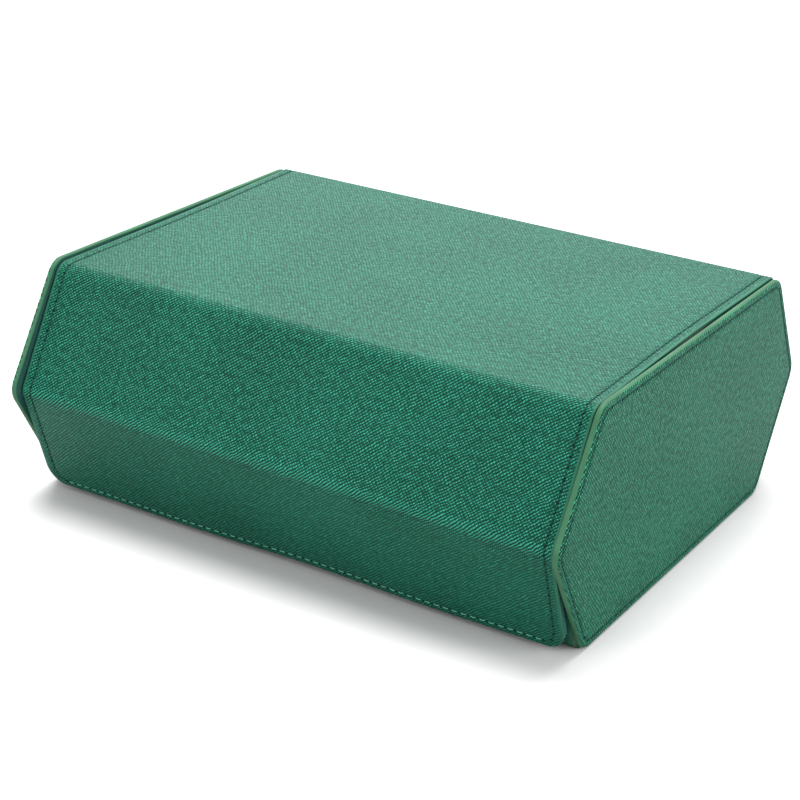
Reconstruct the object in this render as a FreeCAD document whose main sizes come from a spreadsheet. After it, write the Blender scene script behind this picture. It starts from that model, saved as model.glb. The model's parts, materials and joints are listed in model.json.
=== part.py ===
import FreeCAD, Part
import math
import os

import Sketcher

# A hexagonal card deck box in stitched leathercloth, in millimetres.
# X runs along the length, the closing flap faces -Y and +Z is up.
# The origin is the centre of the footprint, on the surface the box stands on.
# The two end panels are whole hexagons. Between them runs the wrap: bottom and back are
# fixed, and the lid, the front slope and the flap fold one after the other.

# ---------------------------------------------------------------- driving dimensions
DIMENSIONS = {
    "box_length": 280.0,
    "box_height": 110.0,
    "middle_height": 55.0,        # height of the widest line of the end panels
    "flat_depth": 183.0,          # depth of the flat top and of the flat bottom
    "middle_depth": 247.0,        # depth across the two middle corners
    "corner_radius": 10.0,         # rounded corners of the end panels
    "rim_radius": 1.3,            # soft outer edge of the end panels
    "end_thickness": 3.0,
    "end_board_thickness": 1.2,
    "skin_thickness": 1.0,        # leathercloth with its backing
    "board_thickness": 2.2,       # greyboard in the wrap
    "lining_thickness": 0.8,      # microfibre
    "front_lip": 1.5,             # the end panels stand this far above the lid's front
    "back_lip": 0.6,              # and this far behind the wrap's back
    "lid_back_height": 110.2,     # the lid rises a little towards its hinge
    "side_gap": 0.8,              # between a moving panel and an end panel
    "hem": 1.5,                   # the boards stop this far inside the edge of the skin
    "front_fold_inset": 4.5,      # the middle front fold lies this far inside the end panels
    "flap_edge_depth": 100.5,     # distance of the flap's lower edge from the middle
    "flap_edge_height": 2.8,
    "flap_corner_radius": 10.0,
    "fold_radius": 1.5,
    "fold_clearance": 0.3,
    "board_to_fold": 3.0,
    "wall_board_thickness": 2.5,
    "wall_outer_depth": 88.0,     # outer face of the upright inner walls
    "wall_height": 99.0,
    "partition_height": 84.0,
    "sill_height": 24.0,
    "sill_gap": 1.5,              # between the closed flap and the sill it rests against
    "sill_foot_height": 4.5,
    "sill_foot_depth": 90.5,
    "magnet_length": 20.0,
    "magnet_width": 8.0,
    "magnet_thickness": 1.5,
    "magnet_edge": 10.0,          # from the flap's lower edge to its magnets
    "seam_inset": 4.6,
    "end_seam_inset": 3.0,        # rows of thread on the end panels
    "flap_seam_inset": 2.8,
    "seam_width": 0.7,
    "seam_depth": 0.4,
    "divider_board_thickness": 1.6,
    "divider_cover_thickness": 0.5,
    "divider_clearance": 0.5,
    "divider_top": 96.0,
    "notch_width": 30.0,
    "notch_depth": 9.0,
}
MAGNET_POSITIONS = (-105.0, -35.0, 35.0, 105.0)
DIVIDER_POSITIONS = (-45.0, 45.0)
SIDES = (("left", -1), ("right", 1))

doc = FreeCAD.newDocument("card_deck_box")
sheet = doc.addObject("Spreadsheet::Sheet", "dimensions")
for row, (alias, value) in enumerate(DIMENSIONS.items(), start=1):
    sheet.set(f"A{row}", alias)
    sheet.set(f"B{row}", str(value))
    sheet.setAlias(f"B{row}", alias)
doc.recompute()


def dim(alias):
    """One driving dimension, read back from the spreadsheet."""
    return float(sheet.get(alias))


# ---------------------------------------------------------------- section geometry
# Points of the Y-Z section are vectors that hold (y, z, 0).
def point(y, z):
    return FreeCAD.Vector(y, z, 0)


def heading(start, end):
    return (end - start).normalize()


def inward(start, end):
    """Unit normal into the box. The wrap runs bottom, back, lid, front slope, flap."""
    along = heading(start, end)
    return point(-along.y, along.x)


def meet(first, second):
    """Crossing of two lines, each given as (point, direction)."""
    (p, a), (q, b) = first, second
    gap = q - p
    return p + a * ((gap.x * b.y - gap.y * b.x) / (a.x * b.y - a.y * b.x))


def shifted(line, depth):
    """An open line of points, moved into the box by depth with mitred corners."""
    sides = list(zip(line, line[1:]))
    lines = [(a + inward(a, b) * depth, heading(a, b)) for a, b in sides]
    middle = [meet(one, two) for one, two in zip(lines, lines[1:])]
    last_start, last_end = sides[-1]
    return [lines[0][0], *middle, last_end + inward(last_start, last_end) * depth]


def strip(line, outer, inner):
    """Section of a sheet that follows the line, between two depths below it."""
    return shifted(line, outer) + shifted(line, inner)[::-1]


def trimmed(line, at_start, at_end):
    """The line with its first and last stretch cut shorter."""
    first = line[0] + heading(line[0], line[1]) * at_start
    last = line[-1] - heading(line[-2], line[-1]) * at_end
    return [first, *line[1:-1], last]


def rectangle(low_y, low_z, high_y, high_z):
    return [
        point(low_y, low_z),
        point(high_y, low_z),
        point(high_y, high_z),
        point(low_y, high_z),
    ]


def half_angle(before, corner, after):
    """Half of the inside angle at a corner of the wrap, in radians."""
    return heading(corner, before).getAngle(heading(corner, after)) / 2


def hexagon(inset):
    """Rounded outline of an end panel, moved inwards by inset."""
    flat, middle = dim("flat_depth") / 2, dim("middle_depth") / 2
    top, mid = dim("box_height"), dim("middle_height")
    corners = [
        point(-flat, 0),
        point(flat, 0),
        point(middle, mid),
        point(flat, top),
        point(-flat, top),
        point(-middle, mid),
    ]
    ring = corners[-1:] + corners + corners[:1]
    return rounded(shifted(ring, inset)[1:-1], dim("corner_radius") - inset)


# ---------------------------------------------------------------- solid helpers
nodes = []


def new_body(name):
    body = doc.addObject("PartDesign::Body", name)
    body.Label = name
    nodes.append(body)
    return body


def section_plane(body):
    for feature in body.Origin.OriginFeatures:
        if feature.Role == "YZ_Plane":
            return feature
    raise RuntimeError("no section plane in " + body.Label)


def straight(corners):
    """Sides of a closed outline with sharp corners."""
    return [Part.LineSegment(a, b) for a, b in zip(corners, corners[1:] + corners[:1])]


def rounded(corners, radius):
    """Sides of a closed convex outline, with an arc of the radius at each corner."""
    bends = []
    around = zip(corners[-1:] + corners[:-1], corners, corners[1:] + corners[:1])
    for before, corner, after in around:
        half = half_angle(before, corner, after)
        reach = radius / math.tan(half)
        start = corner + heading(corner, before) * reach
        end = corner + heading(corner, after) * reach
        into = (heading(corner, before) + heading(corner, after)).normalize()
        crown = corner + into * (radius / math.sin(half) - radius)
        bends.append((start, crown, end))
    curves = []
    for bend, following in zip(bends, bends[1:] + bends[:1]):
        curves.append(Part.Arc(*bend))
        curves.append(Part.LineSegment(bend[2], following[0]))
    return curves


def sketch(body, name, loops, x):
    """Closed outlines of the Y-Z section, in a plane across the box at x."""
    drawn = body.newObject("Sketcher::SketchObject", name)
    drawn.AttachmentSupport = [(section_plane(body), "")]
    drawn.MapMode = "FlatFace"
    drawn.AttachmentOffset = FreeCAD.Placement(FreeCAD.Vector(0, 0, x), FreeCAD.Rotation())
    for loop in loops:
        base, count = len(drawn.Geometry), len(loop)
        for curve in loop:
            drawn.addGeometry(curve, False)
        for i in range(count):
            ends = (base + i, 2, base + (i + 1) % count, 1)
            drawn.addConstraint(Sketcher.Constraint("Coincident", *ends))
    return drawn


def pad(body, loops, x, length):
    """Adds the section over a length that is centred on x. length is an expression."""
    name = f"{body.Label}_pad_{len(body.Group)}"
    feature = body.newObject("PartDesign::Pad", name)
    feature.Profile = sketch(body, name + "_outline", loops, x)
    feature.Midplane = True
    feature.setExpression("Length", length)
    return feature


def pocket(body, loops, x, length):
    """Cuts the section over a length that is centred on x, and tests that it cut."""
    doc.recompute()
    before = body.Shape.Volume
    name = f"{body.Label}_pocket_{len(body.Group)}"
    feature = body.newObject("PartDesign::Pocket", name)
    feature.Profile = sketch(body, name + "_outline", loops, x)
    feature.Midplane = True
    feature.setExpression("Length", length)
    doc.recompute()
    if body.Shape.Volume >= before:
        raise RuntimeError("nothing was cut from " + body.Label)
    return feature


def fillet(body, wanted, radius):
    """Rounds the edges that wanted() picks. radius is an expression."""
    doc.recompute()
    names = [f"Edge{i}" for i, edge in enumerate(body.Shape.Edges, start=1) if wanted(edge)]
    rounded_feature = body.Tip
    feature = body.newObject("PartDesign::Fillet", f"{body.Label}_round_{len(body.Group)}")
    feature.Base = (rounded_feature, names)
    feature.setExpression("Radius", radius)
    doc.recompute()
    return feature


def sheet_piece(name, section, length):
    """A piece with one section over its whole length, centred on the box."""
    body = new_body(name)
    pad(body, [straight(section)], 0, length)
    return body


# ---------------------------------------------------------------- the wrap's outer line
half_flat = dim("flat_depth") / 2
half_middle = dim("middle_depth") / 2
slope = (half_middle - half_flat) / (dim("box_height") - dim("middle_height"))


def top_reach(lip, height):
    """How far out the wrap's corner at a height lies, inside the end panels by lip."""
    return half_flat + (dim("box_height") - height) * slope - lip * math.hypot(1, slope)


front_lip = dim("front_lip")
back_lip = dim("back_lip")
back_height = dim("lid_back_height")
front_height = dim("box_height") - front_lip
back_shift = back_lip * math.hypot(1, slope)

top_back = point(top_reach(back_lip, back_height), back_height)
top_front = point(-top_reach(front_lip, front_height), front_height)
middle_back = point(half_middle - back_shift, dim("middle_height"))
bottom_back = point(half_flat - back_shift, 0)
middle_front = point(dim("front_fold_inset") - half_middle, dim("middle_height"))
flap_edge = point(-dim("flap_edge_depth"), dim("flap_edge_height"))

back_line = [bottom_back, middle_back, top_back]
lid_line = [top_back, top_front]
slope_line = [top_front, middle_front]
flap_line = [middle_front, flap_edge]

SKIN = dim("skin_thickness")
BOARD = SKIN + dim("board_thickness")
LINING = BOARD + dim("lining_thickness")
MOVING = "dimensions.box_length - 2 * dimensions.end_thickness - 2 * dimensions.side_gap"
MOVING_BOARD = MOVING + " - 2 * dimensions.hem"
FIXED = "dimensions.box_length - 2 * dimensions.end_thickness"
SEAM_DEPTH = dim("seam_depth")
seam_x = (
    dim("box_length") / 2 - dim("end_thickness") - dim("side_gap") - dim("seam_inset")
)


def fold_foot(before, corner, after):
    """Distance from a fold's corner to where its round bead touches the wrap's face."""
    return dim("fold_radius") / math.tan(half_angle(before, corner, after))


back_foot = fold_foot(middle_back, top_back, top_front)
top_foot = fold_foot(top_back, top_front, middle_front)
middle_foot = fold_foot(top_front, middle_front, flap_edge)
skin_to_fold = dim("fold_radius") + dim("fold_clearance")
board_to_fold = dim("board_to_fold")


# ---------------------------------------------------------------- fixed bottom and back
# The skins of bottom and back meet in a mitre, so each one stops short of the corner.
miter = SKIN / math.tan(half_angle(point(0, 0), bottom_back, middle_back))
wall_face = dim("wall_outer_depth")
bottom_line = [point(-wall_face, 0), bottom_back]
sheet_piece("bottom_skin", strip(trimmed(bottom_line, 0, miter), 0, SKIN), FIXED)
sheet_piece(
    "bottom_board", strip(trimmed(bottom_line, 0, board_to_fold), SKIN, BOARD), FIXED
)

back_skin_line = trimmed(back_line, miter, back_foot + skin_to_fold)
back_skin = sheet_piece("back_skin", strip(back_skin_line, 0, SKIN), FIXED)
sheet_piece(
    "back_lower_board",
    strip(trimmed(back_line[:2], board_to_fold, board_to_fold), SKIN, BOARD),
    FIXED,
)
sheet_piece(
    "back_upper_board",
    strip(trimmed(back_line[1:], board_to_fold, back_foot + board_to_fold), SKIN, BOARD),
    FIXED,
)

# ---------------------------------------------------------------- end panels
half_length = dim("box_length") / 2
end_face = half_length - dim("end_thickness")


def end_panel(side, sign):
    """Skin that cups the board, the board, the inner lining and the row of thread."""
    outer_face = sign * half_length
    skin = new_body(side + "_end_skin")
    pad(skin, [hexagon(0)], sign * (half_length + end_face) / 2, "dimensions.end_thickness")
    on_face = lambda e: all(abs(v.X - outer_face) < 1e-6 for v in e.Vertexes)
    fillet(skin, on_face, "dimensions.rim_radius")
    cup = dim("end_thickness") - SKIN
    cup_depth = "dimensions.end_thickness - dimensions.skin_thickness"
    pocket(skin, [hexagon(SKIN)], sign * (end_face + cup / 2), cup_depth)

    inset = dim("end_seam_inset")
    ring = [hexagon(inset), hexagon(inset + dim("seam_width"))]
    ring_x = sign * (half_length - SEAM_DEPTH / 2)
    pocket(skin, ring, ring_x, "dimensions.seam_depth")
    seam = new_body(side + "_end_seam")
    pad(seam, ring, ring_x, "dimensions.seam_depth")

    board = new_body(side + "_end_board")
    thickness = dim("end_board_thickness")
    board_x = sign * (half_length - SKIN - thickness / 2)
    pad(board, [hexagon(SKIN)], board_x, "dimensions.end_board_thickness")

    lining = new_body(side + "_end_lining")
    lining_x = sign * (end_face + dim("lining_thickness") / 2)
    pad(lining, [hexagon(SKIN)], lining_x, "dimensions.lining_thickness")


for side, sign in SIDES:
    end_panel(side, sign)

# ---------------------------------------------------------------- upright inner walls
floor_level = BOARD
cover = dim("lining_thickness")
wall_thickness = dim("wall_board_thickness") + 2 * cover
inner_face = wall_face - wall_thickness


def covered_wall(name, middle_y, foot, top):
    """A board with microfibre folded over its top edge and down both faces."""
    outer, core = wall_thickness / 2, wall_thickness / 2 - cover
    board = rectangle(middle_y - core, foot, middle_y + core, top - cover)
    sheet_piece(name + "_board", board, FIXED)
    fold = [
        point(middle_y - outer, foot),
        point(middle_y - core, foot),
        point(middle_y - core, top - cover),
        point(middle_y + core, top - cover),
        point(middle_y + core, foot),
        point(middle_y + outer, foot),
        point(middle_y + outer, top),
        point(middle_y - outer, top),
    ]
    sheet_piece(name + "_cover", fold, FIXED)


wall_middle = wall_face - wall_thickness / 2
covered_wall("front_wall", -wall_middle, floor_level, dim("wall_height"))
covered_wall("back_wall", wall_middle, floor_level, dim("wall_height"))
covered_wall("centre_partition", 0, floor_level + cover, dim("partition_height"))
floor = rectangle(-inner_face, floor_level, inner_face, floor_level + cover)
sheet_piece("floor_lining", floor, FIXED)

# ---------------------------------------------------------------- sill under the flap
# A low ledge before the front wall. The closed flap lies against its sloping face.
sill_start, sill_end = shifted(flap_line, LINING + dim("sill_gap"))
sill_slope = (sill_start, heading(sill_start, sill_end))
level = point(1, 0)
sill_top = meet(sill_slope, (point(0, dim("sill_height")), level))
sill_foot = meet(sill_slope, (point(0, dim("sill_foot_height")), level))
sill_line = [
    point(-wall_face, dim("sill_height")),
    sill_top,
    sill_foot,
    point(-dim("sill_foot_depth"), 0),
    point(-wall_face, 0),
]
sheet_piece("sill_skin", strip(sill_line, 0, SKIN), FIXED)
sill_block = sheet_piece("sill_block", shifted(sill_line, SKIN), FIXED)


def magnet_section(face, centre, outer):
    """Upright bar along a face of the section, centred on a point, from depth outer."""
    along = heading(*face)
    reach = dim("magnet_width") / 2
    foot = face[0] + along * (centre - face[0]).dot(along)
    bar = [foot - along * reach, foot + along * reach]
    return strip(bar, outer, outer + dim("magnet_thickness"))


magnet_centre = flap_edge - heading(*flap_line) * (
    dim("magnet_edge") + dim("magnet_width") / 2
)
sill_bar = straight(magnet_section([sill_top, sill_foot], magnet_centre, SKIN))
for number, x in enumerate(MAGNET_POSITIONS, start=1):
    pocket(sill_block, [sill_bar], x, "dimensions.magnet_length")
    magnet = new_body(f"sill_magnet_{number}")
    pad(magnet, [sill_bar], x, "dimensions.magnet_length")


# ---------------------------------------------------------------- folding panels
def flap_corner(edge):
    """True for an edge through the thickness of the flap at one of its lower corners."""
    if len(edge.Vertexes) != 2:
        return False
    a, b = (point(v.Point.y, v.Point.z) for v in edge.Vertexes)
    if (b - a).Length < 1e-6 or abs((b - a).dot(heading(*flap_line))) > 1e-6:
        return False
    return ((a + b) * 0.5 - flap_edge).Length < 6


def folding_panel(name, line, foot_start, foot_end):
    """A skin turned in round its free edges, with the board and the lining it holds."""
    at_edge = foot_end is None
    skin_end = 0 if at_edge else foot_end + skin_to_fold
    board_end = dim("hem") if at_edge else foot_end + board_to_fold
    skin = new_body(name + "_skin")
    skin_line = trimmed(line, foot_start + skin_to_fold, skin_end)
    pad(skin, [straight(strip(skin_line, 0, LINING))], 0, MOVING)
    open_line = trimmed(line, 0, dim("hem") if at_edge else 0)
    hollow = straight(strip(open_line, SKIN, 2 * LINING))
    pocket(skin, [hollow], 0, MOVING_BOARD)

    inner_line = trimmed(line, foot_start + board_to_fold, board_end)
    board = sheet_piece(name + "_board", strip(inner_line, SKIN, BOARD), MOVING_BOARD)
    lining = sheet_piece(name + "_lining", strip(inner_line, BOARD, LINING), MOVING_BOARD)
    if at_edge:
        inside = "dimensions.flap_corner_radius - dimensions.hem"
        reach = half_length - dim("end_thickness") - dim("side_gap") - dim("hem") / 2
        outer = lambda e: flap_corner(e) and abs(e.BoundBox.XMin) > reach
        inner = lambda e: flap_corner(e) and abs(e.BoundBox.XMin) < reach
        fillet(skin, inner, inside)
        fillet(skin, outer, "dimensions.flap_corner_radius")
        fillet(board, flap_corner, inside)
        fillet(lining, flap_corner, inside)
    return skin, board


lid_skin, lid_board = folding_panel("lid", lid_line, back_foot, top_foot)
slope_skin, slope_board = folding_panel("front_slope", slope_line, top_foot, middle_foot)
flap_skin, flap_board = folding_panel("flap", flap_line, middle_foot, None)

flap_bar = straight(
    magnet_section(flap_line, magnet_centre, BOARD - dim("magnet_thickness"))
)
for number, x in enumerate(MAGNET_POSITIONS, start=1):
    pocket(flap_board, [flap_bar], x, "dimensions.magnet_length")
    magnet = new_body(f"flap_magnet_{number}")
    pad(magnet, [flap_bar], x, "dimensions.magnet_length")

# ---------------------------------------------------------------- rows of thread
seam_margin = skin_to_fold + 1.5


def side_seam(name, skin, line, x):
    """A row of thread in a shallow groove, a little inside one end of a skin."""
    section = straight(strip(line, 0, SEAM_DEPTH))
    pocket(skin, [section], x, "dimensions.seam_width")
    seam = new_body(name)
    pad(seam, [section], x, "dimensions.seam_width")
    return seam


for side, sign in SIDES:
    back_row = trimmed(back_line, seam_margin, back_foot + seam_margin)
    side_seam(f"back_{side}_seam", back_skin, back_row, sign * seam_x)
    lid_row = trimmed(lid_line, back_foot + seam_margin, top_foot + seam_margin)
    side_seam(f"lid_{side}_seam", lid_skin, lid_row, sign * seam_x)
    slope_row = trimmed(slope_line, top_foot + seam_margin, middle_foot + seam_margin)
    side_seam(f"front_slope_{side}_seam", slope_skin, slope_row, sign * seam_x)

# The flap's thread runs down one end, along the lower edge and up the other end.
edge_inset = dim("flap_seam_inset")
flap_row = trimmed(flap_line, middle_foot + seam_margin, edge_inset)
edge_row = [flap_row[1] - heading(*flap_line) * dim("seam_width"), flap_row[1]]
edge_section = straight(strip(edge_row, 0, SEAM_DEPTH))
side_section = straight(strip(flap_row, 0, SEAM_DEPTH))
edge_length = MOVING + " - 2 * dimensions.seam_inset + dimensions.seam_width"
flap_seam = new_body("flap_seam")
pad(flap_seam, [edge_section], 0, edge_length)
pocket(flap_skin, [edge_section], 0, edge_length)
for side, sign in SIDES:
    pad(flap_seam, [side_section], sign * seam_x, "dimensions.seam_width")
    pocket(flap_skin, [side_section], sign * seam_x, "dimensions.seam_width")


# ---------------------------------------------------------------- leather folds
def fold(name, before, corner, after):
    """The bend of the skin at a corner, as a round bead on the axis it folds about."""
    axis = shifted([before, corner, after], dim("fold_radius"))[1]
    bead = doc.addObject("Part::Cylinder", name)
    bead.Label = name
    bead.setExpression("Radius", "dimensions.fold_radius")
    bead.setExpression("Height", MOVING)
    start = FreeCAD.Vector(dim("side_gap") - end_face, axis.x, axis.y)
    bead.Placement = FreeCAD.Placement(start, FreeCAD.Rotation(FreeCAD.Vector(0, 1, 0), 90))
    nodes.append(bead)
    print(f"{name} axis y {axis.x:.3f} z {axis.y:.3f}")


fold("back_top_fold", middle_back, top_back, top_front)
fold("front_top_fold", top_back, top_front, middle_front)
fold("front_middle_fold", top_front, middle_front, flap_edge)


# ---------------------------------------------------------------- sliding dividers
def notched(low_y, high_y, foot, top, inset):
    """Upright plate with chamfered shoulders and a finger notch, inset at its edges."""
    low, high, crown = low_y + inset, high_y - inset, top - inset
    middle = (low_y + high_y) / 2
    mouth = dim("notch_width") / 2 + inset
    base = mouth - dim("notch_depth") * 0.6
    sunk = crown - dim("notch_depth")
    shoulder = 3.0
    return [
        point(low, foot),
        point(high, foot),
        point(high, crown - shoulder),
        point(high - shoulder, crown),
        point(middle + mouth, crown),
        point(middle + base, sunk),
        point(middle - base, sunk),
        point(middle - mouth, crown),
        point(low + shoulder, crown),
        point(low, crown - shoulder),
    ]


def divider(name, low_y, high_y, x):
    """A board with microfibre on both faces, closed round its sides and top."""
    foot = floor_level + cover + dim("divider_clearance")
    thickness = dim("divider_cover_thickness")
    outer = straight(notched(low_y, high_y, foot, dim("divider_top"), 0))
    core = straight(notched(low_y, high_y, foot, dim("divider_top"), thickness))
    board_expression = "dimensions.divider_board_thickness"
    full = board_expression + " + 2 * dimensions.divider_cover_thickness"
    wrap = new_body(name + "_cover")
    pad(wrap, [outer], x, full)
    pocket(wrap, [core], x, board_expression)
    board = new_body(name + "_board")
    pad(board, [core], x, board_expression)


row_start = wall_thickness / 2 + dim("divider_clearance")
row_end = inner_face - dim("divider_clearance")
for number, x in enumerate(DIVIDER_POSITIONS, start=1):
    divider(f"front_divider_{number}", -row_end, -row_start, x)
    divider(f"back_divider_{number}", row_start, row_end, x)

# ---------------------------------------------------------------- checks and files
doc.recompute()
for item in doc.Objects:
    if "Invalid" in item.State or "Error" in item.State:
        raise RuntimeError(f"{item.Name}: {item.State}")
for node in nodes:
    if node.Shape.isNull() or not node.Shape.isValid():
        raise RuntimeError("bad shape: " + node.Label)
    if len(node.Shape.Solids) != 1:
        raise RuntimeError("not one solid: " + node.Label)

os.makedirs("parts", exist_ok=True)
for node in nodes:
    node.Shape.exportStep(f"parts/{node.Label}.step")
print(len(nodes), "nodes written")
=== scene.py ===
import json
import math

import bpy
from mathutils import Matrix, Vector


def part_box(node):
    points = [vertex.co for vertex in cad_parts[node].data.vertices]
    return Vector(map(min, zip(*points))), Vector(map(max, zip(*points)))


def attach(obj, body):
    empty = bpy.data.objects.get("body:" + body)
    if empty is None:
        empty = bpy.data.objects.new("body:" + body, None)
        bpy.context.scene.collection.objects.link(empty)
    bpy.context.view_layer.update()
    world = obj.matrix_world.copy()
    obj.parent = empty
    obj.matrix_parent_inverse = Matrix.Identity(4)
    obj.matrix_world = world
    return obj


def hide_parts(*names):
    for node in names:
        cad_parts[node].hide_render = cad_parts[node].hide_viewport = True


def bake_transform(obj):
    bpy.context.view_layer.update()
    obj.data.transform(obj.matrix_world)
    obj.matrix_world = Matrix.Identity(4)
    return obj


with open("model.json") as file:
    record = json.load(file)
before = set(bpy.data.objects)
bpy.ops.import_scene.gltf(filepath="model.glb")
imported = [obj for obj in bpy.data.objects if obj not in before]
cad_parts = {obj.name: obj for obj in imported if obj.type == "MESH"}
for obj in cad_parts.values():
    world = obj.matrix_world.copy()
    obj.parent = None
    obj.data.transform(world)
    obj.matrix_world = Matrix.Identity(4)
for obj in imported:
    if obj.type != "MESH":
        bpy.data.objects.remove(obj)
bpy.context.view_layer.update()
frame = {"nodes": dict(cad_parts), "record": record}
MM = 0.001

# ------------------------------------------------------------------ camera
AZIMUTH, ELEVATION, ROLL = (math.radians(a) for a in (30.891, 23.423, 2.305))
LENS, SENSOR_WIDTH = 89.118, 36.0
BOX_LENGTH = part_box("right_end_skin")[1][0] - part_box("left_end_skin")[0][0]
CAMERA_PLACE = Vector((1.549, -2.632, 1.480)) * BOX_LENGTH

forward = Vector(
    (
        -math.sin(AZIMUTH) * math.cos(ELEVATION),
        math.cos(AZIMUTH) * math.cos(ELEVATION),
        -math.sin(ELEVATION),
    )
)
level_right = forward.cross(Vector((0, 0, 1))).normalized()
level_up = level_right.cross(forward)
right = math.cos(ROLL) * level_right + math.sin(ROLL) * level_up
up = -math.sin(ROLL) * level_right + math.cos(ROLL) * level_up

camera_data = bpy.data.cameras.new("camera")
camera_data.lens = LENS
camera_data.sensor_width = SENSOR_WIDTH
camera_data.clip_start = 0.01
camera = bpy.data.objects.new("camera", camera_data)
bpy.context.scene.collection.objects.link(camera)
turned = Matrix((right, up, -forward)).transposed().to_4x4()
camera.matrix_world = Matrix.Translation(CAMERA_PLACE) @ turned
bpy.context.scene.camera = camera


# ------------------------------------------------------------------ node helpers
class Tree:
    """Short calls for building one material's nodes."""

    def __init__(self, name):
        self.material = bpy.data.materials.new(name)
        self.material.use_nodes = True
        self.tree = self.material.node_tree
        self.shader = self.tree.nodes["Principled BSDF"]

    def node(self, kind, **settings):
        made = self.tree.nodes.new(kind)
        for name, value in settings.items():
            setattr(made, name, value)
        return made

    def link(self, source, target):
        self.tree.links.new(source, target)

    def feed(self, socket, value):
        if isinstance(value, bpy.types.NodeSocket):
            self.link(value, socket)
        else:
            socket.default_value = value

    def math(self, operation, *values):
        made = self.node("ShaderNodeMath", operation=operation)
        for socket, value in zip(made.inputs, values):
            self.feed(socket, value)
        return made.outputs[0]

    def noise(self, vector, scale, detail=2.0, roughness=0.5):
        made = self.node("ShaderNodeTexNoise")
        self.link(vector, made.inputs["Vector"])
        made.inputs["Scale"].default_value = scale
        made.inputs["Detail"].default_value = detail
        made.inputs["Roughness"].default_value = roughness
        return made.outputs["Fac"]

    def ramp(self, value, *stops):
        made = self.node("ShaderNodeValToRGB")
        self.link(value, made.inputs["Fac"])
        elements = made.color_ramp.elements
        while len(elements) < len(stops):
            elements.new(0.5)
        for element, (place, colour) in zip(elements, stops):
            element.position = place
            element.color = (*colour, 1.0)
        return made.outputs["Color"]

    def spread(self, value, low, high, out_low, out_high):
        made = self.node("ShaderNodeMapRange")
        self.feed(made.inputs["Value"], value)
        for name, number in (
            ("From Min", low), ("From Max", high), ("To Min", out_low), ("To Max", out_high),
        ):
            made.inputs[name].default_value = number
        return made.outputs["Result"]

    def bump(self, height, distance):
        made = self.node("ShaderNodeBump")
        self.link(height, made.inputs["Height"])
        made.inputs["Distance"].default_value = distance
        self.link(made.outputs["Normal"], self.shader.inputs["Normal"])

    def place(self):
        return self.node("ShaderNodeTexCoord").outputs["Object"]


# ------------------------------------------------------------------ materials
GRAIN_UV = "grain"
FINE_ANGLE, FINE_PITCH = math.radians(-40), 1.2 * MM
CROSS_ANGLE, CROSS_PITCH = math.radians(51), 1.36 * MM
BROAD_SWAY, NEAR_SWAY = 1.6, 0.9  # in ridges
CROSS_FLOOR = 0.42  # height that is left of a ridge where a furrow crosses it
MEAN_HEIGHT = 0.32
FLAT_GRAIN = 0.55  # how much of the relief is left on the flap
FOLD_HIGHLIGHT = 0.45  # how much lighter the ridges are painted along the fold: a painted highlight


def ridges(t, u, v, angle, pitch, wander):
    """Height of one set of parallel ridges that run at angle from u, from 0 to 1."""
    across = t.math(
        "ADD",
        t.math("MULTIPLY", u, -math.sin(angle) / pitch),
        t.math("MULTIPLY", v, math.cos(angle) / pitch),
    )
    wave = t.math("SINE", t.math("MULTIPLY", t.math("ADD", across, wander), 2 * math.pi))
    return t.spread(wave, -1.0, 1.0, 0.0, 1.0)


def leather(name, dark, middle, light, relief, shine, fold=None):
    """Cross-grained leathercloth. The grain follows the UV map, whose unit is a metre.

    Where v passes the fold, the ridges get a painted highlight, and beyond it they lie flatter.
    """
    t = Tree(name)
    uv = t.node("ShaderNodeUVMap", uv_map=GRAIN_UV).outputs[0]
    parts = t.node("ShaderNodeSeparateXYZ")
    t.link(uv, parts.inputs[0])
    u, v = parts.outputs[0], parts.outputs[1]
    broad_wander = t.math("SUBTRACT", t.noise(uv, 60.0, 1.0), 0.5)
    near_wander = t.math("SUBTRACT", t.noise(uv, 330.0, 1.0), 0.5)
    wander = t.math(
        "ADD",
        t.math("MULTIPLY", broad_wander, BROAD_SWAY),
        t.math("MULTIPLY", near_wander, NEAR_SWAY),
    )
    fine = ridges(t, u, v, FINE_ANGLE, FINE_PITCH, wander)
    cross = ridges(t, u, v, CROSS_ANGLE, CROSS_PITCH, wander)
    # The cross furrows cut the ridges into short beads.
    height = t.math("MULTIPLY", fine, t.spread(cross, 0.05, 0.7, CROSS_FLOOR, 1.0))
    uneven = t.noise(uv, 420.0, 2.0)
    height = t.math("MULTIPLY", height, t.spread(uneven, 0.3, 0.7, 0.45, 1.3))
    if fold is not None:
        pressed = t.spread(v, fold + 1.5 * MM, fold + 7 * MM, 1.0, FLAT_GRAIN)
        height = t.math("MULTIPLY", t.math("SUBTRACT", height, MEAN_HEIGHT), pressed)
        # Painted highlight: the ridges are painted lighter within a few millimetres of the
        # fold.
        from_fold = t.math("ABSOLUTE", t.math("SUBTRACT", v, fold))
        near_fold = t.spread(from_fold, 1.0 * MM, 3.2 * MM, FOLD_HIGHLIGHT, 0.0)
        fold_highlight = t.math("MULTIPLY", near_fold, fine)
        height = t.math("ADD", t.math("ADD", height, MEAN_HEIGHT), fold_highlight)
    # The colour follows the grain's height. It is partly the grain's own tone, partly painted
    # shade in the valleys and painted glints on the ridge tops.
    broad = t.noise(t.place(), 22.0, 3.0)
    tone = t.math("ADD", t.math("MULTIPLY", height, 0.85), t.math("MULTIPLY", broad, 0.2))
    colour = t.ramp(tone, (0.1, dark), (0.45, middle), (1.0, light))
    t.link(colour, t.shader.inputs["Base Color"])
    t.link(t.spread(height, 0.0, 1.0, 0.6, 0.3), t.shader.inputs["Roughness"])
    t.shader.inputs["Specular IOR Level"].default_value = shine
    t.shader.inputs["Specular Tint"].default_value = (0.35, 1.0, 0.85, 1.0)
    pores = t.noise(uv, 2600.0, 1.0)
    full = t.math("ADD", height, t.math("MULTIPLY", pores, 0.12))
    t.bump(full, relief)
    return t.material


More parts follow.
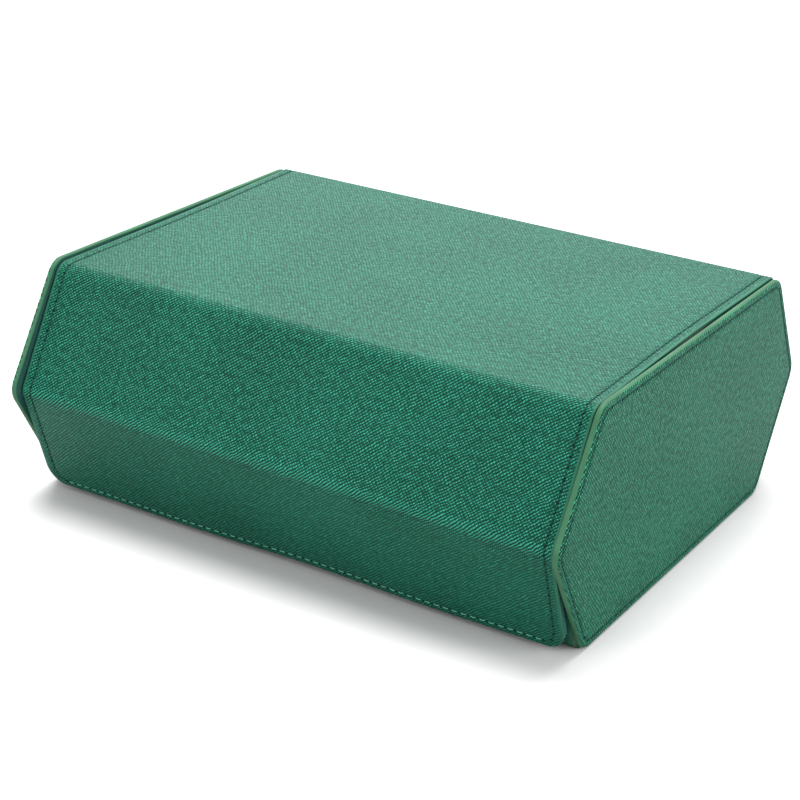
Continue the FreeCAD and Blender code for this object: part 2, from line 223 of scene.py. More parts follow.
def edge_leather(name, dark, light):
    """The smooth, slightly polished skin where it turns round an edge."""
    t = Tree(name)
    place = t.place()
    colour = t.ramp(t.noise(place, 60.0, 3.0), (0.3, dark), (0.7, light))
    t.link(colour, t.shader.inputs["Base Color"])
    t.link(t.spread(t.noise(place, 240.0), 0.3, 0.7, 0.5, 0.62), t.shader.inputs["Roughness"])
    t.shader.inputs["Specular IOR Level"].default_value = 0.2
    t.bump(t.noise(place, 900.0, 3.0), 0.05 * MM)
    return t.material


def microfibre(name, dark, light):
    """Short brushed pile: mottled, matt and soft at its edges."""
    t = Tree(name)
    place = t.place()
    pile = t.noise(place, 1500.0, 3.0, 0.7)
    brushed = t.noise(place, 45.0, 3.0)
    tone = t.math("ADD", t.math("MULTIPLY", pile, 0.75), t.math("MULTIPLY", brushed, 0.35))
    t.link(t.ramp(tone, (0.35, dark), (0.75, light)), t.shader.inputs["Base Color"])
    t.link(t.spread(pile, 0.2, 0.8, 0.8, 0.98), t.shader.inputs["Roughness"])
    t.shader.inputs["Sheen Weight"].default_value = 0.12
    t.shader.inputs["Sheen Roughness"].default_value = 0.4
    t.shader.inputs["Sheen Tint"].default_value = (0.35, 0.75, 0.68, 1.0)
    t.shader.inputs["Specular IOR Level"].default_value = 0.2
    t.bump(pile, 0.3 * MM)
    return t.material


def thread(name, dark, light):
    """Twisted sewing thread with a little waxed shine."""
    t = Tree(name)
    place = t.place()
    ply = t.noise(place, 2400.0, 2.0)
    t.link(t.ramp(ply, (0.3, dark), (0.7, light)), t.shader.inputs["Base Color"])
    t.link(t.spread(ply, 0.3, 0.7, 0.4, 0.6), t.shader.inputs["Roughness"])
    t.shader.inputs["Specular IOR Level"].default_value = 0.15
    t.bump(ply, 0.1 * MM)
    return t.material


# Painted shade: a near-black disc that stands in for the shade inside a needle hole and the
# stitch's slanted shadow.
def needle_hole_shade():
    t = Tree("needle_hole_shade")
    shade = t.noise(t.place(), 3000.0)
    colour = t.ramp(shade, (0.3, (0.001, 0.008, 0.006)), (0.7, (0.003, 0.02, 0.014)))
    t.link(colour, t.shader.inputs["Base Color"])
    t.link(t.spread(shade, 0.3, 0.7, 0.85, 1.0), t.shader.inputs["Roughness"])
    t.shader.inputs["Specular IOR Level"].default_value = 0.1
    return t.material


def board(name, dark, light, scale):
    """Pressed board with fibres in it."""
    t = Tree(name)
    place = t.place()
    fibres = t.noise(place, scale, 4.0, 0.65)
    t.link(t.ramp(fibres, (0.3, dark), (0.7, light)), t.shader.inputs["Base Color"])
    t.link(t.spread(fibres, 0.3, 0.7, 0.75, 0.92), t.shader.inputs["Roughness"])
    t.bump(fibres, 0.1 * MM)
    return t.material


def plated_steel():
    t = Tree("plated_steel")
    place = t.place()
    scratches = t.noise(place, 700.0, 2.0)
    colour = t.ramp(scratches, (0.3, (0.45, 0.45, 0.44)), (0.7, (0.62, 0.62, 0.6)))
    t.link(colour, t.shader.inputs["Base Color"])
    t.shader.inputs["Metallic"].default_value = 1.0
    t.link(t.spread(scratches, 0.3, 0.7, 0.25, 0.42), t.shader.inputs["Roughness"])
    return t.material


# ------------------------------------------------------------------ section of the box
class Path:
    """A line of the Y-Z section with rounded corners, measured by distance along it."""

    def __init__(self, corners, radii):
        points = [Vector(c) for c in corners]
        self.parts = []
        self.corner_at = []
        start, travelled = points[0], 0.0
        for i in range(1, len(points) - 1):
            before, after = (points[i] - points[i - 1]), (points[i + 1] - points[i])
            a, b = before.normalized(), after.normalized()
            turn = a.angle(b)
            radius = radii[i - 1]
            reach = radius * math.tan(turn / 2)
            end = points[i] - a * reach
            length = (end - start).length
            self.parts.append((travelled, length, start, a, None))
            travelled += length
            centre = end + Vector((-a.y, a.x)) * radius
            self.parts.append((travelled, turn * radius, centre, end - centre, radius))
            self.corner_at.append(travelled + turn * radius / 2)
            travelled += turn * radius
            start = points[i] + b * reach
        last = points[-1] - start
        self.parts.append((travelled, last.length, start, last.normalized(), None))
        self.length = travelled + last.length

    def at(self, s):
        """(y, z) on the line and the unit normal into the box."""
        for begin, length, origin, vector, radius in reversed(self.parts):
            if s >= begin or begin == 0.0:
                break
        if radius is None:
            return origin + vector * (s - begin), Vector((-vector.y, vector.x))
        angle = (s - begin) / radius
        c, n = math.cos(angle), math.sin(angle)
        arm = Vector((vector.x * c - vector.y * n, vector.x * n + vector.y * c))
        return origin + arm, -arm.normalized()


HALF_FLAT, HALF_MIDDLE, HEIGHT, MIDDLE = 91.5 * MM, 123.5 * MM, 110 * MM, 55 * MM
FRONT_LIP, BACK_LIP, LID_BACK_HEIGHT = 1.5 * MM, 0.6 * MM, 110.2 * MM
FLAP_FOLD_Y, FLAP_END_Y, FLAP_END_Z = -119.0 * MM, -100.5 * MM, 2.8 * MM
lean = (HALF_MIDDLE - HALF_FLAT) / (HEIGHT - MIDDLE)


def top_reach(lip, height):
    """How far out the wrap's corner at a height lies, inside the end panels by lip."""
    return HALF_FLAT + (HEIGHT - height) * lean - lip * math.hypot(1, lean)


back_shift = BACK_LIP * math.hypot(1, lean)
front_height = HEIGHT - FRONT_LIP
WRAP = Path(
    [
        (HALF_FLAT - back_shift, 0),
        (HALF_MIDDLE - back_shift, MIDDLE),
        (top_reach(BACK_LIP, LID_BACK_HEIGHT), LID_BACK_HEIGHT),
        (-top_reach(FRONT_LIP, front_height), front_height),
        (FLAP_FOLD_Y, MIDDLE),
        (FLAP_END_Y, FLAP_END_Z),
    ],
    [7 * MM, 4 * MM, 8 * MM, 6 * MM],
)
BACK_MIDDLE, BACK_TOP, FRONT_TOP, FRONT_MIDDLE = WRAP.corner_at
LID_MIDDLE = (BACK_TOP + FRONT_TOP) / 2
SLOPE_MIDDLE = (FRONT_TOP + FRONT_MIDDLE) / 2
HALF_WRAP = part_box("lid_skin")[1][0]
HALF_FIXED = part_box("bottom_skin")[1][0]
SEAM_X = HALF_WRAP - 4.6 * MM
FLAP_CORNER = 10 * MM
LID_WAIST = 1.2 * MM
LINING_INSET = 0.2 * MM
FLAP_SEAM = 3.1 * MM
SKIN, FIXED_SKIN = 1.1 * MM, 1.0 * MM
RIPPLE, LONG_WAVE, SHORT_WAVE = 0.7 * MM, 190 * MM, 17 * MM
DENT_REACH, SIDE_DENT, EDGE_DENT = 1.1 * MM, 0.32 * MM, 0.22 * MM


def smooth(value, low, high):
    t = min(1.0, max(0.0, (value - low) / (high - low)))
    return t * t * (3 - 2 * t)


def ripple(x, s):
    """How far the soft flap lies below its flat line, in metres."""
    t = smooth(s, FRONT_MIDDLE + 6 * MM, WRAP.length)
    slow = math.sin(2 * math.pi * (x + 40 * MM) / LONG_WAVE)
    quick = math.sin(x / SHORT_WAVE + 1.0)
    return RIPPLE * t * (0.6 * slow + 0.4 * quick)


def pulled(x, s):
    """The dent that the thread pulls into the skin."""
    across = (abs(x) - SEAM_X) / DENT_REACH
    along = (WRAP.length - FLAP_SEAM - s) / DENT_REACH
    return max(SIDE_DENT * math.exp(-across * across), EDGE_DENT * math.exp(-along * along))


def waist(s):
    """The lid's two ends pull in a little half way between its folds."""
    part = min(1.0, max(0.0, (s - BACK_TOP) / (FRONT_TOP - BACK_TOP)))
    return 1 - LID_WAIST / HALF_WRAP * math.sin(math.pi * part) ** 2


def on_wrap(x, s, depth):
    """A point of the wrap: x along the box, s round its section, depth below the face."""
    place, normal = WRAP.at(s)
    below = depth + ripple(x, s)
    return Vector((x * waist(s), place.x + normal.x * below, place.y + normal.y * below))


# ------------------------------------------------------------------ materials in use
LEATHER = leather(
    "leathercloth", (0.0004, 0.014, 0.008), (0.003, 0.077, 0.044), (0.04, 0.32, 0.21),
    0.5 * MM, 0.22, FRONT_MIDDLE,
)
# The end panels' copy of the leathercloth, its colours painted lighter to stand in for the
# light that falls on the end panels.
LIT_PANEL_LEATHER = leather(
    "leathercloth_panel_painted_lighter", (0.0004, 0.020, 0.011), (0.003, 0.107, 0.056), (0.06, 0.44, 0.27),
    1.0 * MM, 0.15,
)
EDGE = edge_leather("leathercloth_edge", (0.022, 0.088, 0.042), (0.034, 0.122, 0.062))
TURNED = edge_leather("leathercloth_turned", (0.006, 0.075, 0.042), (0.014, 0.110, 0.064))
PILE = microfibre("microfibre", (0.003, 0.030, 0.026), (0.016, 0.095, 0.082))
THREAD = thread("thread_dark", (0.002, 0.026, 0.018), (0.008, 0.07, 0.05))
# Painted highlight: a lighter copy of the thread for the flap's lower edge, where the stitches
# catch the light.
THREAD_HIGHLIT = thread("thread_painted_highlight", (0.05, 0.24, 0.18), (0.18, 0.46, 0.37))
PAINTED_HOLE_SHADE = needle_hole_shade()
GREYBOARD = board("greyboard", (0.25, 0.235, 0.21), (0.42, 0.40, 0.36), 900.0)
FIBREBOARD = board("fibreboard", (0.30, 0.20, 0.11), (0.46, 0.33, 0.20), 1400.0)
STEEL = plated_steel()


# ------------------------------------------------------------------ mesh helpers
def mesh_object(name, vertices, faces, materials, face_materials=None, uvs=None, sharp=()):
    mesh = bpy.data.meshes.new(name)
    mesh.from_pydata([tuple(v) for v in vertices], [], faces)
    for material in materials:
        mesh.materials.append(material)
    if face_materials:
        mesh.polygons.foreach_set("material_index", face_materials)
    mesh.polygons.foreach_set("use_smooth", [True] * len(faces))
    if uvs:
        layer = mesh.uv_layers.new(name=GRAIN_UV)
        for loop in mesh.loops:
            layer.data[loop.index].uv = uvs[loop.vertex_index]
    if sharp:
        rim = {frozenset(pair) for pair in sharp}
        for edge in mesh.edges:
            edge.use_edge_sharp = frozenset(edge.vertices) in rim
    mesh.validate()
    mesh.update()
    made = bpy.data.objects.new(name, mesh)
    bpy.context.scene.collection.objects.link(made)
    return made


# Places across the wrap, closer together beside the two rows of thread.
NEAR_SEAM = [-3.2, -2.2, -1.5, -0.9, -0.4, 0.0, 0.4, 0.9, 1.5, 2.2, 3.2]
seam_columns = [SEAM_X + n * MM for n in NEAR_SEAM]
COLUMNS = [i * 6 * MM for i in range(-20, 21)] + seam_columns
COLUMNS = sorted([-x for x in seam_columns] + COLUMNS)
ARC = [(math.sin(a), math.cos(a)) for a in (math.pi / 2 * k / 4 for k in range(1, 4))]


def sheet(name, path_point, stations, half, outer, inner, edge, materials, dent=None):
    """A closed sheet between two depths that follows stations along its path.

    half, outer and inner are functions of the station, and edge is the radius of its sides.
    """
    vertices, uvs = [], []
    for s in stations:
        top, low = outer(s), inner(s)
        r = min(edge, (low - top) * 0.49)
        inside = half(s) - r
        # A narrower sheet squeezes its columns together.
        squeeze = min(1.0, inside / (COLUMNS[-1] + 0.1 * MM))
        across = [-inside] + [x * squeeze for x in COLUMNS] + [inside]
        top_count = len(across)
        ring = [(x, top, True) for x in across]
        ring += [(inside + r * n, top + r - r * c, False) for n, c in ARC]
        ring += [(inside + r, top + r, False), (inside + r, low - r, False)]
        ring += [(inside + r * c, low - r + r * n, False) for n, c in ARC]
        ring += [(x, low, False) for x in across[::-1]]
        ring += [(-inside - r * n, low - r + r * c, False) for n, c in ARC]
        ring += [(-inside - r, low - r, False), (-inside - r, top + r, False)]
        ring += [(-inside - r * c, top + r - r * n, False) for n, c in ARC]
        ring_size = len(ring)
        for x, depth, on_top in ring:
            extra = dent(x, s) if dent and on_top else 0.0
            vertices.append(path_point(x, s, depth + extra))
            uvs.append((x, s))
    faces, marks = [], []
    for i in range(len(stations) - 1):
        for j in range(ring_size):
            k = (j + 1) % ring_size
            a, b = i * ring_size, (i + 1) * ring_size
            faces.append((a + j, b + j, b + k, a + k))
            marks.append(0 if 0 < j < top_count - 2 else 1)
    last = (len(stations) - 1) * ring_size
    faces.append(tuple(range(ring_size)))
    faces.append(tuple(range(last + ring_size - 1, last - 1, -1)))
    marks += [1, 1]
    sharp = [(j, (j + 1) % ring_size) for j in range(ring_size)]
    sharp += [(last + a, last + b) for a, b in sharp]
    return mesh_object(name, vertices, faces, materials, marks, uvs, sharp)


def stations_between(start, end, fine=(), far=6 * MM, near=0.6 * MM, reach=7 * MM):
    """Distances from start to end, close together within reach of each place in fine."""
    places, s = [start], start
    while s < end - 1e-9:
        gap = min([abs(s + near - f) for f in fine] or [1.0])
        step = near if gap < reach else min(far, max(near, gap - reach))
        s = min(end, s + step)
        places.append(s)
    if len(places) > 2 and places[-1] - places[-2] < near / 3:
        places.pop(-2)
    return places


def free_end(start, end, radius, fine):
    """Stations that end in a free edge: finer over its rounded corners and its lip."""
    plain = stations_between(start, end - radius, fine)
    arc = [end - radius + radius * math.sin(math.pi / 2 * k / 12) for k in range(1, 12)]
    return plain + arc + [end - 0.12 * MM, end - 0.03 * MM, end]


def rounded_half(half, end, radius):
    """Half width of a sheet that ends at a station in two rounded corners."""

    def at(s):
        into = s - (end - radius)
        if into <= 0:
            return half
        return half - radius + math.sqrt(max(0.0, radius**2 - into**2))

    return at


def constant(value):
    return lambda s: value


# ------------------------------------------------------------------ the wrap's skins
LIP_REACH, LIP_CLOSE = 0.5 * MM, 0.95
NARROW_START, NARROW_END = 22 * MM, 3 * MM
SKIN_SIDE_RADIUS, LINING_SIDE_RADIUS, FIXED_SIDE_RADIUS = 0.5 * MM, 0.8 * MM, 0.3 * MM


def fold_blend(piece):
    """Bakes a piece's transform into its mesh."""
    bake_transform(piece)


def lip_depth(end, face, far_face):
    """Depth of a face near a free edge, where it rounds over like a turned hem."""

    def at(s):
        lift = max(0.0, 1 - max(0.0, end - s) / LIP_REACH)
        return face + (far_face - face) / 2 * LIP_CLOSE * lift**2

    return at


def back_half(s):
    """The fixed back reaches the end panels, and the lid stays clear of them."""
    narrow = smooth(s, BACK_TOP - NARROW_START, BACK_TOP - NARROW_END)
    return HALF_FIXED - (HALF_FIXED - HALF_WRAP) * narrow


flap_top = lip_depth(WRAP.length, 0.0, SKIN)
flap_bottom = lip_depth(WRAP.length, SKIN, 0.0)
WRAP_SKINS = (
    (
        "back_and_lid_skin", ("box_base", "lid", BACK_TOP),
        stations_between(0.6 * MM, LID_MIDDLE, (BACK_MIDDLE, BACK_TOP)),
        back_half, constant(0.0), constant(SKIN),
        ("back_skin", "back_top_fold", "lid_skin"),
    ),
    (
        "lid_and_slope_skin", ("lid", "front_slope", FRONT_TOP),
        stations_between(LID_MIDDLE, SLOPE_MIDDLE, (FRONT_TOP,)),
        constant(HALF_WRAP), constant(0.0), constant(SKIN),
        ("front_top_fold", "front_slope_skin"),
    ),
    (
        "slope_and_flap_skin", ("front_slope", "flap", FRONT_MIDDLE),
        free_end(SLOPE_MIDDLE, WRAP.length, FLAP_CORNER, (FRONT_MIDDLE,)),
        rounded_half(HALF_WRAP, WRAP.length, FLAP_CORNER), flap_top, flap_bottom,
        ("front_middle_fold", "flap_skin"),
    ),
)
for name, (first, second, corner), stations, half, top, low, nodes in WRAP_SKINS:
    piece = sheet(
        name, on_wrap, stations, half, top, low, SKIN_SIDE_RADIUS, (LEATHER, TURNED), pulled
    )
    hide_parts(*nodes)
    fold_blend(piece)

# ------------------------------------------------------------------ the wrap's linings
# Depths below the wrap's face: the lining's inner face in a fold's channel and between
# the folds, its outer face under the skin, and its outer face behind the back board.
THIN, THICK, UNDER, BEHIND_BOARD = 2.1 * MM, 4.0 * MM, 1.25 * MM, 3.25 * MM
FLAP_LINING_INSET = 0.7 * MM


def channel(*corners):
    """Depth of the lining's inner face, which dips to the skin at each fold."""

    def at(s):
        clear = min(abs(s - c) for c in corners)
        return THIN + (THICK - THIN) * smooth(clear, 2.6 * MM, 3.3 * MM)

    return at


def behind_back_board(s):
    """The lining lies on the back board's inner face and meets the skin at the fold."""
    behind = 1 - smooth(s, BACK_TOP - 4.4 * MM, BACK_TOP - 3.2 * MM)
    return UNDER + (BEHIND_BOARD - UNDER) * behind


FLAP_LINING_END = WRAP.length - FLAP_LINING_INSET
FLAP_LINING_CORNER = FLAP_CORNER - FLAP_LINING_INSET
flap_lining_half = rounded_half(HALF_WRAP - LINING_INSET, FLAP_LINING_END, FLAP_LINING_CORNER)
LININGS = (
    (
        "lid_lining_sheet", ("box_base", "lid", BACK_TOP),
        stations_between(BACK_TOP - 14 * MM, LID_MIDDLE, (BACK_TOP,), near=0.4 * MM),
        constant(HALF_WRAP - LINING_INSET), behind_back_board, channel(BACK_TOP),
        ("lid_lining",),
    ),
    (
        "slope_lining_sheet", ("lid", "front_slope", FRONT_TOP),
        stations_between(LID_MIDDLE, SLOPE_MIDDLE, (FRONT_TOP,), near=0.4 * MM),
        constant(HALF_WRAP - LINING_INSET), constant(UNDER), channel(FRONT_TOP),
        ("front_slope_lining",),
    ),
    (
        "flap_lining_sheet", ("front_slope", "flap", FRONT_MIDDLE),
        free_end(SLOPE_MIDDLE, FLAP_LINING_END, FLAP_LINING_CORNER, (FRONT_MIDDLE,)),
        flap_lining_half, constant(UNDER), channel(FRONT_MIDDLE),
        ("flap_lining",),
    ),
)
for name, (first, second, corner), stations, half, top, low, nodes in LININGS:
    piece = sheet(
        name, on_wrap, stations, half, top, low, LINING_SIDE_RADIUS, (PILE, PILE)
    )
    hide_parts(*nodes)
    fold_blend(piece)


# ------------------------------------------------------------------ bottom and sill skins
def fixed_sheet(name, path, node):
    """A skin of the fixed base that follows a path of its own."""

    def point_on(x, s, depth):
        place, normal = path.at(s)
        return Vector((x, place.x + normal.x * depth, place.y + normal.y * depth))

    stations = stations_between(0.0, path.length, path.corner_at, near=0.5 * MM, reach=3 * MM)
    piece = sheet(
        name, point_on, stations, constant(HALF_FIXED), constant(0.0), constant(FIXED_SKIN),
        FIXED_SIDE_RADIUS, (LEATHER, TURNED),
    )
    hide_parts(node)
    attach(piece, "box_base")
    return piece


SILL_FOOT_Y, SILL_FOOT_Z = -90.5 * MM, 4.5 * MM
bottom_box, sill_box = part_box("bottom_skin"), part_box("sill_skin")
bottom_path = Path([(bottom_box[0][1], 0.0), (bottom_box[1][1], 0.0)], [])
fixed_sheet("bottom_cover", bottom_path, "bottom_skin")
wall_y, sill_top_z, sill_front_y = sill_box[1][1], sill_box[1][2], sill_box[0][1]
flap_lean = (FLAP_END_Y - FLAP_FOLD_Y) / (MIDDLE - FLAP_END_Z)
foot_y = sill_front_y + flap_lean * (sill_top_z - SILL_FOOT_Z)
sill_path = Path(
    [
        (wall_y, sill_top_z), (sill_front_y, sill_top_z), (foot_y, SILL_FOOT_Z),
        (SILL_FOOT_Y, 0.0), (wall_y, 0.0),
    ],
    [1.5 * MM, 1.5 * MM, 1.0 * MM],
)
fixed_sheet("sill_cover", sill_path, "sill_skin")


# ------------------------------------------------------------------ end panels
PANEL_RADIUS = 10 * MM
ARC_STEPS, SIDE_STEPS = 8, 10


def hexagon(inset):
    """Rounded outline of an end panel moved inwards, always with the same points."""
    corners = [
        Vector(c)
        for c in (
            (-HALF_FLAT, 0), (HALF_FLAT, 0), (HALF_MIDDLE, MIDDLE),
            (HALF_FLAT, HEIGHT), (-HALF_FLAT, HEIGHT), (-HALF_MIDDLE, MIDDLE),
        )
    ]
    count = len(corners)
    lines = []
    for i in range(count):
        a, b = corners[i], corners[(i + 1) % count]
        along = (b - a).normalized()
        lines.append((a + Vector((-along.y, along.x)) * inset, along))
    moved = []
    for i in range(count):
        (p, a), (q, b) = lines[i - 1], lines[i]
        gap = q - p
        moved.append(p + a * ((gap.x * b.y - gap.y * b.x) / (a.x * b.y - a.y * b.x)))
    radius = max(0.8 * MM, PANEL_RADIUS - inset)
    bends = []
    for i in range(count):
        a, b = lines[i - 1][1], lines[i][1]
        turn = a.angle(b)
        start = moved[i] - a * radius * math.tan(turn / 2)
        centre = start + Vector((-a.y, a.x)) * radius
        arm = start - centre
        bend = []
        for k in range(ARC_STEPS + 1):
            angle = turn * k / ARC_STEPS
            c, n = math.cos(angle), math.sin(angle)
            bend.append(centre + Vector((arm.x * c - arm.y * n, arm.x * n + arm.y * c)))
        bends.append(bend)
    outline = []
    for i in range(count):
        outline += bends[i]
        a, b = bends[i][-1], bends[(i + 1) % count][0]
        outline += [a.lerp(b, k / SIDE_STEPS) for k in range(1, SIDE_STEPS)]
    return outline


PANEL_SEAM = 3.25 * MM
# Rings of the end panel's skin as (inset, height above the inner face) in millimetres,
# from the hem on the inner face, over the rim, to the middle of the outer face.
HEM_RINGS = [(40.0, 0.45), (1.15, 0.45), (1.05, 0.2), (0.75, 0.03), (0.4, 0.12), (0.12, 0.4)]
RIM_RINGS = [(0.0, 0.9), (0.0, 1.5), (0.1, 2.05), (0.38, 2.5), (0.8, 2.82), (1.3, 2.98)]
FACE_RINGS = [(1.9, 3.02), (2.3, 2.94), (2.7, 2.74), (3.25, 2.7), (3.8, 2.74), (4.2, 2.94)]
FACE_RINGS += [(5.2, 3.06), (8.0, 3.1), (14.0, 3.12), (24.0, 3.12), (38.0, 3.1), (50.0, 3.1)]
RINGS = HEM_RINGS + RIM_RINGS + FACE_RINGS
# The first ring of the grained face; the smooth edge reaches further round on the right.
FIRST_GRAINED = {"left": len(HEM_RINGS) + 1, "right": len(HEM_RINGS) + 3}


def end_cover(side, sign):
    vertices, uvs = [], []
    for inset, rise in RINGS:
        for p in hexagon(inset * MM):
            vertices.append((sign * (HALF_FIXED + rise * MM), p.x, p.y))
            uvs.append((p.x, -p.y))
    size = len(vertices) // len(RINGS)
    faces, marks = [], []
    for i in range(len(RINGS) - 1):
        for j in range(size):
            k = (j + 1) % size
            a, b = i * size, (i + 1) * size
            quad = (a + j, a + k, b + k, b + j)
            faces.append(quad if sign > 0 else quad[::-1])
            marks.append(0 if i >= FIRST_GRAINED[side] else 1)
    last = (len(RINGS) - 1) * size
    back, front = list(range(size))[::-1], list(range(last, last + size))
    if sign < 0:
        back, front = back[::-1], front[::-1]
    faces += [tuple(back), tuple(front)]
    marks += [1, 0]
    piece = mesh_object(side + "_end_cover", vertices, faces, (LIT_PANEL_LEATHER, EDGE), marks, uvs)
    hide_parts(side + "_end_skin")
    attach(piece, "box_base")


# ------------------------------------------------------------------ thread
STITCH_PITCH = 4.45 * MM
STITCH_GAP = 0.9 * MM
STITCH_DEPTH, STITCH_RISE = -0.42 * MM, 0.62 * MM
THREAD_HALF, HIGHLIT_THREAD_HALF = 0.30 * MM, 0.24 * MM
# Size and slant of the painted shade disc at each needle hole.
HOLE_LENGTH, HOLE_WIDTH, HOLE_SLANT = 0.85 * MM, 0.46 * MM, math.radians(35)
HOLE_HEIGHT = 0.05 * MM


def resampled(points, closed):
    """Places along a line of points, evenly spaced at about the stitch pitch."""
    line = points + points[:1] if closed else points
    lengths = [(b - a).length for a, b in zip(line, line[1:])]
    count = max(1, round(sum(lengths) / STITCH_PITCH))
    step = sum(lengths) / count
    places, walked, index = [], 0.0, 0
    for k in range(count + 1):
        target = min(k * step, sum(lengths) - 1e-9)
        while walked + lengths[index] < target:
            walked += lengths[index]
            index += 1
        places.append(line[index].lerp(line[index + 1], (target - walked) / lengths[index]))
    return places


def stitches(name, rows, surface):
    """Stitches along rows of 2D points. surface(p, height) gives a point over the skin."""
    vertices, faces, marks = [], [], []
    ring, steps, hole_ring = 6, 8, 10
    for places, light in rows:
        for a, b in zip(places, places[1:]):
            along = (b - a).normalized()
            side = Vector((-along.y, along.x))
            start, end = a + along * STITCH_GAP / 2, b - along * STITCH_GAP / 2
            base = len(vertices)
            for k in range(steps + 1):
                q = k / steps
                arch = math.sin(math.pi * q) ** 0.45 if 0 < q < 1 else 0.0
                middle = start.lerp(end, q)
                height = STITCH_DEPTH + STITCH_RISE * arch
                width = (HIGHLIT_THREAD_HALF if light else THREAD_HALF) * (0.75 + 0.25 * arch)
                for m in range(ring):
                    angle = 2 * math.pi * m / ring
                    p = middle + side * width * math.cos(angle)
                    vertices.append(surface(p, height + 0.8 * width * math.sin(angle)))
            for k in range(steps):
                for m in range(ring):
                    n = (m + 1) % ring
                    lo, hi = base + k * ring, base + (k + 1) * ring
                    faces.append((lo + m, lo + n, hi + n, hi + m))
                    marks.append(1 if light else 0)
            faces.append(tuple(base + m for m in range(ring))[::-1])
            faces.append(tuple(base + steps * ring + m for m in range(ring)))
            marks += [0, 0]
        # At each needle hole a flat dark disc is laid just over the skin: painted shade of the
        # hole and of the stitch's slanted shadow.
        for a, p, b in zip(places[-2:-1] + places, places, places[1:] + places[-1:]):
            slant = (b - p if b != p else p - a).normalized()
            turn = math.atan2(slant.y, slant.x) + HOLE_SLANT
            base = len(vertices)
            for m in range(hole_ring):
                angle = 2 * math.pi * m / hole_ring
                q = Vector((HOLE_LENGTH * math.cos(angle), HOLE_WIDTH * math.sin(angle)))
                q = Vector((
                    q.x * math.cos(turn) - q.y * math.sin(turn),
                    q.x * math.sin(turn) + q.y * math.cos(turn),
                ))
                vertices.append(surface(p + q, HOLE_HEIGHT))
            faces.append(tuple(base + m for m in range(hole_ring)))
            marks.append(2)
    piece = mesh_object(name, vertices, faces, (THREAD, THREAD_HIGHLIT, PAINTED_HOLE_SHADE), marks)
    return piece


def over_wrap(p, height):
    return on_wrap(p.x, p.y, pulled(p.x, p.y) * 0.9 - height)


def side_rows(start, end):
    """Two rows along s, one beside each end of the wrap."""
    return [
        (resampled([Vector((x, start)), Vector((x, end))], False), False)
        for x in (-SEAM_X, SEAM_X)
    ]


rows = side_rows(4 * MM, LID_MIDDLE)
piece = stitches("back_and_lid_thread", rows, over_wrap)
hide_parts("back_left_seam", "back_right_seam", "lid_left_seam", "lid_right_seam")
fold_blend(piece)

rows = side_rows(LID_MIDDLE + STITCH_GAP, SLOPE_MIDDLE)
piece = stitches("lid_and_slope_thread", rows, over_wrap)
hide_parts("front_slope_left_seam", "front_slope_right_seam")
fold_blend(piece)

# The flap's row turns round both lower corners, and the thread along its lower edge is painted
# lighter: a painted highlight where it catches the light.
bend_x, bend_s = 5.4 * MM, 6.2 * MM
edge_s = WRAP.length - FLAP_SEAM


def corner_points(sign):
    centre = Vector((sign * (SEAM_X - bend_x), edge_s - bend_s))
    angles = [math.pi / 2 * k / 8 for k in range(9)]
    return [
        centre + Vector((sign * bend_x * math.cos(a), bend_s * math.sin(a))) for a in angles
    ]


right_side = [Vector((SEAM_X, SLOPE_MIDDLE + STITCH_GAP)), Vector((SEAM_X, edge_s - bend_s))]
left_side = [Vector((-p.x, p.y)) for p in right_side]
right_bend, left_bend = corner_points(1), corner_points(-1)
rows = [
    (resampled(right_side + right_bend[1:], False), False),
    (resampled(left_side + left_bend[1:], False), False),
    (resampled([left_bend[-1] + Vector((STITCH_GAP, 0)), right_bend[-1]], False), True),
]
piece = stitches("slope_and_flap_thread", rows, over_wrap)
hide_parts("flap_seam")
fold_blend(piece)

SEAM_RISE = 2.70 * MM  # the bottom of the panel's stitched groove, as in FACE_RINGS
for side, sign in (("left", -1), ("right", 1)):
    end_cover(side, sign)

    def over_panel(p, height, sign=sign):
        return Vector((sign * (HALF_FIXED + SEAM_RISE + height), p.x, p.y))

    outline = resampled(hexagon(PANEL_SEAM), True)
    piece = stitches(side + "_end_thread", [(outline, False)], over_panel)
    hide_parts(side + "_end_seam")
    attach(piece, "box_base")

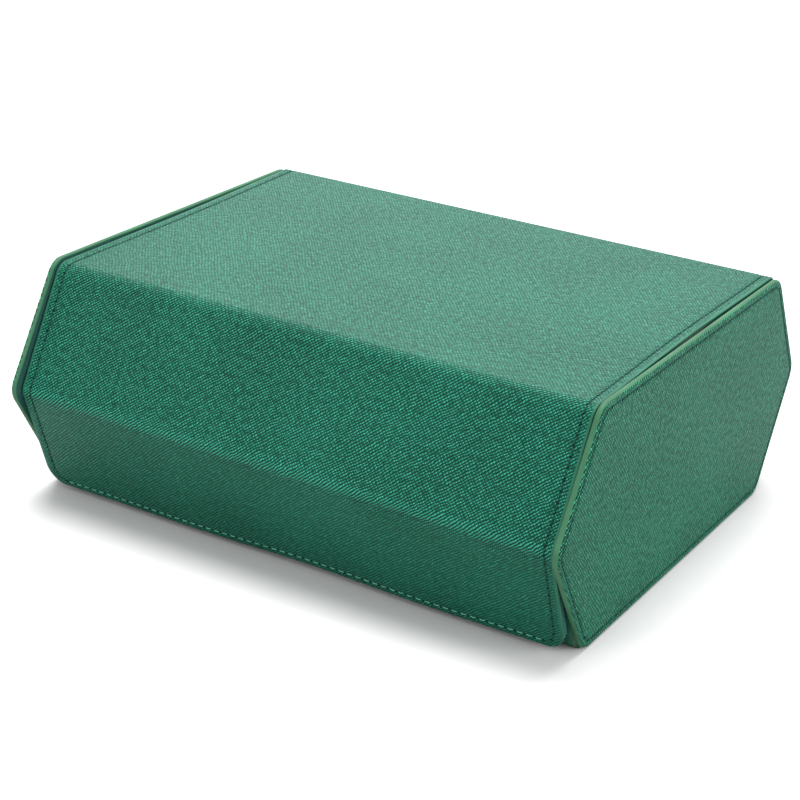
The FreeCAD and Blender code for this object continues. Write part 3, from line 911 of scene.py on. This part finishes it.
# ------------------------------------------------------------------ carried-over nodes
BY_SLOT = {
    "leathercloth": LEATHER,
    "microfibre": PILE,
    "greyboard": GREYBOARD,
    "thread": THREAD,
    "magnet": STEEL,
    "fibreboard": FIBREBOARD,
}
for sub_part in frame["record"]["subparts"]:
    node = frame["nodes"][sub_part["node"]]
    material = BY_SLOT[sub_part["material_slot"]]
    for holder in node.material_slots:
        holder.material = material

# ------------------------------------------------------------------ floor and light
FLOOR_HALF = 6
floor_corners = [
    (x * FLOOR_HALF, y * FLOOR_HALF, 0) for x, y in ((-1, -1), (1, -1), (1, 1), (-1, 1))
]
floor = mesh_object("floor", floor_corners, [(0, 1, 2, 3)], ())
floor_tree = Tree("floor")
speckle = floor_tree.noise(floor_tree.place(), 40.0, 2.0)
floor_tone = floor_tree.ramp(speckle, (0.3, (0.54, 0.54, 0.54)), (0.7, (0.55, 0.55, 0.55)))
floor_tree.link(floor_tone, floor_tree.shader.inputs["Base Color"])
floor_tree.shader.inputs["Roughness"].default_value = 0.9
floor_tree.shader.inputs["Specular IOR Level"].default_value = 0.0
floor.data.materials.append(floor_tree.material)

world = bpy.data.worlds.new("studio")
world.use_nodes = True
world.node_tree.nodes["Background"].inputs["Color"].default_value = (1.0, 1.0, 1.0, 1.0)
world.node_tree.nodes["Background"].inputs["Strength"].default_value = 1.08
bpy.context.scene.world = world


def distant_light(name, towards, strength, spread):
    """Light from far away in the direction towards, over a spread in degrees."""
    data = bpy.data.lights.new(name, "SUN")
    data.energy = strength
    data.angle = math.radians(spread)
    lamp = bpy.data.objects.new(name, data)
    bpy.context.scene.collection.objects.link(lamp)
    lamp.rotation_euler = Vector(towards).to_track_quat("Z", "Y").to_euler()


distant_light("overhead", (-0.13, 0.18, 0.97), 4.8, 38)
distant_light("side", (0.9, 0.1, 0.4), 2.1, 35)
distant_light("backdrop", (-0.47, 0.79, 0.4), 0.7, 45)
distant_light("front", (-0.43, -0.8, 0.42), 0.6, 22)
bpy.context.scene.view_settings.view_transform = "Standard"
